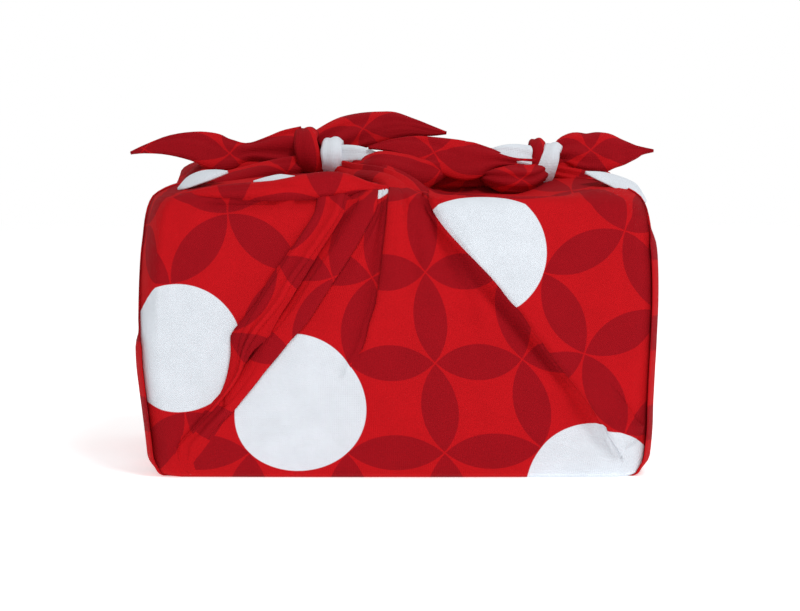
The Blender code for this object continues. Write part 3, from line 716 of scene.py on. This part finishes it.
def printed_cotton(settings):
    """Plain-woven cotton, screen printed: matt, a soft sheen at grazing angles, and a fine weave."""
    material = bpy.data.materials.new("printed_plain_weave_cotton")
    material.use_nodes = True
    tree = material.node_tree
    shader = tree.nodes["Principled BSDF"]
    flat = add_node(tree, "ShaderNodeUVMap", {"uv_map": "flat_cloth"})
    cells = add_node(tree, "ShaderNodeVectorMath", {"operation": "SCALE"},
                     {"Scale": 1.0 / settings.repeat}, {0: flat.outputs[0]})
    whole = add_node(tree, "ShaderNodeVectorMath", {"operation": "FLOOR"}, None, {0: cells.outputs[0]})
    part = add_node(tree, "ShaderNodeVectorMath", {"operation": "SUBTRACT"}, None,
                    {0: cells.outputs[0], 1: whole.outputs[0]})
    local = add_node(tree, "ShaderNodeVectorMath", {"operation": "SUBTRACT"},
                     {1: (0.5, 0.5, 0.0)}, {0: part.outputs[0]})
    size = add_node(tree, "ShaderNodeVectorMath", {"operation": "ABSOLUTE"}, None, {0: local.outputs[0]})
    sign = add_node(tree, "ShaderNodeVectorMath", {"operation": "SIGN"}, None, {0: local.outputs[0]})
    size_xy = add_node(tree, "ShaderNodeSeparateXYZ", None, None, {0: size.outputs[0]})
    sideways = add_node(tree, "ShaderNodeMath", {"operation": "GREATER_THAN"}, None,
                        {0: size_xy.outputs[0], 1: size_xy.outputs[1]})
    upward = add_node(tree, "ShaderNodeMath", {"operation": "SUBTRACT"}, {0: 1.0}, {1: sideways.outputs[0]})
    chosen = add_node(tree, "ShaderNodeCombineXYZ", None, None,
                      {0: sideways.outputs[0], 1: upward.outputs[0]})
    step = add_node(tree, "ShaderNodeVectorMath", {"operation": "MULTIPLY"}, None,
                    {0: sign.outputs[0], 1: chosen.outputs[0]})
    to_neighbour = add_node(tree, "ShaderNodeVectorMath", {"operation": "DISTANCE"}, None,
                            {0: local.outputs[0], 1: step.outputs[0]})
    neighbour = add_node(tree, "ShaderNodeVectorMath", {"operation": "ADD"}, None,
                         {0: whole.outputs[0], 1: step.outputs[0]})

    def within(radius, soft):
        return add_node(tree, "ShaderNodeMapRange", None,
                        {"From Min": radius + soft, "From Max": radius - soft},
                        {"Value": to_neighbour.outputs["Value"]}).outputs[0]

    def is_dot(cell):
        count = add_node(tree, "ShaderNodeVectorMath", {"operation": "DOT_PRODUCT"},
                         {1: (1.0, 3.0, 0.0)}, {0: cell.outputs[0]})
        shifted = add_node(tree, "ShaderNodeMath", {"operation": "ADD"}, {1: 0.5 + DOT_PHASE},
                           {0: count.outputs["Value"]})
        left = add_node(tree, "ShaderNodeMath", {"operation": "FLOORED_MODULO"}, {1: 9.0},
                        {0: shifted.outputs[0]})
        return add_node(tree, "ShaderNodeMath", {"operation": "LESS_THAN"}, {1: 1.0},
                        {0: left.outputs[0]}).outputs[0]

    circle = math.sqrt(0.5)
    petal = within(circle - TIP_GAP / 2, PRINT_EDGE)
    cap = add_node(tree, "ShaderNodeMath", {"operation": "MULTIPLY"}, None,
                   {0: within(circle, PRINT_EDGE), 1: is_dot(neighbour)})
    dot = add_node(tree, "ShaderNodeMath", {"operation": "MAXIMUM"}, None,
                   {0: cap.outputs[0], 1: is_dot(whole)})

    tone = add_node(tree, "ShaderNodeTexNoise", None, {"Scale": 70.0, "Detail": 4.0, "Roughness": 0.6},
                    {"Vector": flat.outputs[0]})
    tint = add_node(tree, "ShaderNodeMapRange", None, {"To Min": 0.90, "To Max": 1.10},
                    {"Value": tone.outputs[0]})
    red = add_node(tree, "ShaderNodeMix", {"data_type": "RGBA"},
                   {"A": (*settings.ground, 1.0), "B": (*settings.petal, 1.0)}, {"Factor": petal})
    printed = add_node(tree, "ShaderNodeMix", {"data_type": "RGBA"}, {"B": (*settings.dot, 1.0)},
                       {"Factor": dot.outputs[0], "A": red.outputs["Result"]})
    shade = add_node(tree, "ShaderNodeMix", {"data_type": "RGBA", "blend_type": "MULTIPLY"},
                     {"Factor": 1.0}, {"A": printed.outputs["Result"], "B": tint.outputs[0]})

    # Threads are about 0.4 mm apart; they are drawn at 0.9 mm so that they still show.
    threads = []
    for direction in ("X", "Y"):
        threads.append(add_node(tree, "ShaderNodeTexWave", {"wave_type": "BANDS", "bands_direction": direction},
                                {"Scale": 1.0 / (THREAD_STEP * 6.2832) * 2.0, "Distortion": 0.6,
                                 "Detail": 2.0, "Detail Scale": 3.0}, {"Vector": flat.outputs[0]}))
    weave = add_node(tree, "ShaderNodeMath", {"operation": "ADD"}, None,
                     {0: threads[0].outputs["Fac"], 1: threads[1].outputs["Fac"]})
    slub = add_node(tree, "ShaderNodeTexNoise", None, {"Scale": 260.0, "Detail": 3.0},
                    {"Vector": flat.outputs[0]})
    relief = add_node(tree, "ShaderNodeMath", {"operation": "MULTIPLY_ADD"}, {1: 1.6},
                      {0: slub.outputs[0], 2: weave.outputs[0]})
    bump = add_node(tree, "ShaderNodeBump", None, {"Strength": 0.28, "Distance": 0.0004},
                    {"Height": relief.outputs[0]})
    tree.links.new(shade.outputs["Result"], shader.inputs["Base Color"])
    tree.links.new(bump.outputs[0], shader.inputs["Normal"])
    shader.inputs["Roughness"].default_value = 0.82
    shader.inputs["Specular IOR Level"].default_value = 0.08
    shader.inputs["Sheen Weight"].default_value = 0.01
    shader.inputs["Sheen Roughness"].default_value = 0.45
    return material


# The dots fall on every ninth circle: cell (-1, 0) holds one, and so do those 3 along and 1 down,
# and 3 up, from it.
DOT_PHASE = 1.0
TIP_GAP = 0.016
PRINT_EDGE = 0.004
THREAD_STEP = 0.0009


def floor_material(colour):
    """Matt painted studio floor."""
    material = bpy.data.materials.new("matt_studio_floor")
    material.use_nodes = True
    tree = material.node_tree
    shader = tree.nodes["Principled BSDF"]
    place = add_node(tree, "ShaderNodeTexCoord")
    grain = add_node(tree, "ShaderNodeTexNoise", None, {"Scale": 3.0, "Detail": 3.0},
                     {"Vector": place.outputs["Object"]})
    tone = add_node(tree, "ShaderNodeMapRange", None, {"To Min": 0.98, "To Max": 1.02},
                    {"Value": grain.outputs[0]})
    mixed = add_node(tree, "ShaderNodeMix", {"data_type": "RGBA", "blend_type": "MULTIPLY"},
                     {"Factor": 1.0, "A": (*colour, 1.0)}, {"B": tone.outputs[0]})
    tree.links.new(mixed.outputs["Result"], shader.inputs["Base Color"])
    shader.inputs["Roughness"].default_value = 0.9
    shader.inputs["Specular IOR Level"].default_value = 0.1
    shader.inputs["Emission Color"].default_value = (1.0, 1.0, 1.0, 1.0)
    shader.inputs["Emission Strength"].default_value = 0.50
    return material


# ---------------------------------------------------------------- settings and operators
class FuroshikiSettings(PropertyGroup):
    """Sizes and colours that a user would change."""
    side: FloatProperty(name="Cloth side", description="Side of the square cloth", default=0.68,
                        unit="LENGTH")
    thickness: FloatProperty(name="Thickness", description="Thickness of the cloth", default=0.0006,
                             unit="LENGTH", precision=4)
    repeat: FloatProperty(name="Repeat", description="Distance between the crossings of the print",
                          default=0.0455, unit="LENGTH", precision=4)
    ground: FloatVectorProperty(name="Ground", description="Red of the ground", subtype="COLOR",
                                default=linear("#BC0F17"))
    petal: FloatVectorProperty(name="Petals", description="Deep red of the petals", subtype="COLOR",
                               default=linear("#980A16"))
    dot: FloatVectorProperty(name="Dots", description="White of the dots", subtype="COLOR",
                             default=linear("#DCE2E9"))
    floor: FloatVectorProperty(name="Floor", description="Pale floor", subtype="COLOR",
                               default=linear("#FAFAFA"))


class OBJECT_OT_wrapped_body(Operator):
    """Fold the cloth round the load, with the pleats of the front and back"""
    bl_idname = "object.wrapped_body"
    bl_label = "Wrapped Body"

    def execute(self, context):
        build_body()
        return {"FINISHED"}


class OBJECT_OT_gathers(Operator):
    """Draw the cloth of each side up to the knots"""
    bl_idname = "object.gathers"
    bl_label = "Gathers"

    def execute(self, context):
        for name, finish in STRAND_FINISH.items():
            gathered_strand(name, STRANDS[name], *finish)
        return {"FINISHED"}


class OBJECT_OT_free_ends(Operator):
    """Leave the four corners of the cloth free beyond the knots"""
    bl_idname = "object.free_ends"
    bl_label = "Free Ends"

    def execute(self, context):
        for name, start in END_PRINTS.items():
            free_end(name, STRANDS[name], start)
        return {"FINISHED"}


class OBJECT_OT_knots(Operator):
    """Pull the bands of the two knots tight"""
    bl_idname = "object.knots"
    bl_label = "Knots"

    def execute(self, context):
        for name, band in BANDS.items():
            band_ring(name, band)
        return {"FINISHED"}


class OBJECT_OT_one_cloth(Operator):
    """Join everything to the one cloth that it is, give it its thickness and its print"""
    bl_idname = "object.one_cloth"
    bl_label = "One Cloth"

    def execute(self, context):
        settings = context.scene.furoshiki
        names = ["body", "base", *STRANDS, *BANDS]
        joined = bmesh.new()
        for name in names:
            obj = bpy.data.objects[name]
            joined.from_mesh(obj.data)
            bpy.data.objects.remove(obj)
        bmesh.ops.remove_doubles(joined, verts=joined.verts[:], dist=0.00002)
        bmesh.ops.recalc_face_normals(joined, faces=joined.faces[:])
        bmesh.ops.dissolve_degenerate(joined, edges=joined.edges[:], dist=0.00001)
        mesh = bpy.data.meshes.new("furoshiki_wrap_cloth")
        joined.to_mesh(mesh)
        joined.free()
        mesh.shade_smooth()
        cloth = bpy.data.objects.new("furoshiki_wrap_cloth", mesh)
        context.scene.collection.objects.link(cloth)
        solid = cloth.modifiers.new("thickness", "SOLIDIFY")
        solid.thickness = settings.thickness
        solid.offset = -1.0
        graph = context.evaluated_depsgraph_get()
        thick = bpy.data.meshes.new_from_object(cloth.evaluated_get(graph))
        for corner in thick.vertices:
            corner.co.z = max(corner.co.z, 0.0)
        cloth.modifiers.clear()
        cloth.data = thick
        cloth.data.materials.clear()
        cloth.data.materials.append(printed_cotton(settings))
        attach(cloth, "root")
        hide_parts("furoshiki_cloth")
        return {"FINISHED"}


class OBJECT_OT_wrap_stage(Operator):
    """Set the pale floor, the soft studio light and the camera"""
    bl_idname = "object.wrap_stage"
    bl_label = "Stage"

    def execute(self, context):
        scene = context.scene
        bpy.ops.mesh.primitive_plane_add(size=6.0, location=(0, 0, 0))
        floor = context.object
        floor.name = "studio_floor"
        floor.data.materials.append(floor_material(scene.furoshiki.floor))
        lights = {
            "key": ((0.55, -0.95, 1.5), 0.45, 13.0),
            "fill": ((1.3, -1.3, 0.9), 1.2, 0.6),
            "top": ((0.1, 0.5, 1.7), 1.0, 1.5),
        }
        aim = Vector((0.0, 0.0, 0.08))
        for name, (place, size, power) in lights.items():
            light = bpy.data.lights.new(name, "AREA")
            light.size = size
            light.energy = power
            lamp = bpy.data.objects.new(name, light)
            lamp.location = place
            lamp.rotation_euler = (aim - Vector(place)).to_track_quat("-Z", "Y").to_euler()
            scene.collection.objects.link(lamp)
        world = bpy.data.worlds.new("studio")
        world.use_nodes = True
        tree = world.node_tree
        glow = tree.nodes["Background"]
        glow.inputs["Color"].default_value = (1, 1, 1, 1)
        glow.inputs["Strength"].default_value = 0.50
        backdrop = tree.nodes.new("ShaderNodeBackground")
        backdrop.inputs["Color"].default_value = (1, 1, 1, 1)
        seen = tree.nodes.new("ShaderNodeLightPath")
        choice = tree.nodes.new("ShaderNodeMixShader")
        tree.links.new(seen.outputs["Is Camera Ray"], choice.inputs["Fac"])
        tree.links.new(glow.outputs["Background"], choice.inputs[1])
        tree.links.new(backdrop.outputs["Background"], choice.inputs[2])
        tree.links.new(choice.outputs["Shader"], tree.nodes["World Output"].inputs["Surface"])
        scene.world = world
        distance, elevation = 1.1, math.radians(4.5)
        target = Vector((0.0015, -0.085, 0.0873))
        camera = bpy.data.cameras.new("camera")
        camera.lens = 99.0
        camera.sensor_width = 36.0
        eye = bpy.data.objects.new("camera", camera)
        eye.location = target + Vector((0, -math.cos(elevation), math.sin(elevation))) * distance
        eye.rotation_euler = (target - eye.location).to_track_quat("-Z", "Y").to_euler()
        scene.collection.objects.link(eye)
        scene.camera = eye
        scene.view_settings.view_transform = "Standard"
        return {"FINISHED"}


class VIEW3D_PT_furoshiki(Panel):
    """Furoshiki wrap"""
    bl_idname = "VIEW3D_PT_furoshiki"
    bl_label = "Furoshiki Wrap"
    bl_space_type = "VIEW_3D"
    bl_region_type = "UI"
    bl_category = "Wrap"

    def draw(self, context):
        settings = context.scene.furoshiki
        for name in FuroshikiSettings.__annotations__:
            self.layout.prop(settings, name)
        for operator in OPERATORS:
            self.layout.operator(operator.bl_idname)


OPERATORS = (OBJECT_OT_wrapped_body, OBJECT_OT_gathers, OBJECT_OT_free_ends, OBJECT_OT_knots,
             OBJECT_OT_one_cloth, OBJECT_OT_wrap_stage)
CLASSES = (FuroshikiSettings, *OPERATORS, VIEW3D_PT_furoshiki)


def register():
    for cls in CLASSES:
        bpy.utils.register_class(cls)
    bpy.types.Scene.furoshiki = PointerProperty(type=FuroshikiSettings)


def unregister():
    del bpy.types.Scene.furoshiki
    for cls in reversed(CLASSES):
        bpy.utils.unregister_class(cls)


def main():
    register()
    bpy.ops.object.wrapped_body()
    bpy.ops.object.gathers()
    bpy.ops.object.free_ends()
    bpy.ops.object.knots()
    bpy.ops.object.one_cloth()
    bpy.ops.object.wrap_stage()


if __name__ == "__main__":
    main()
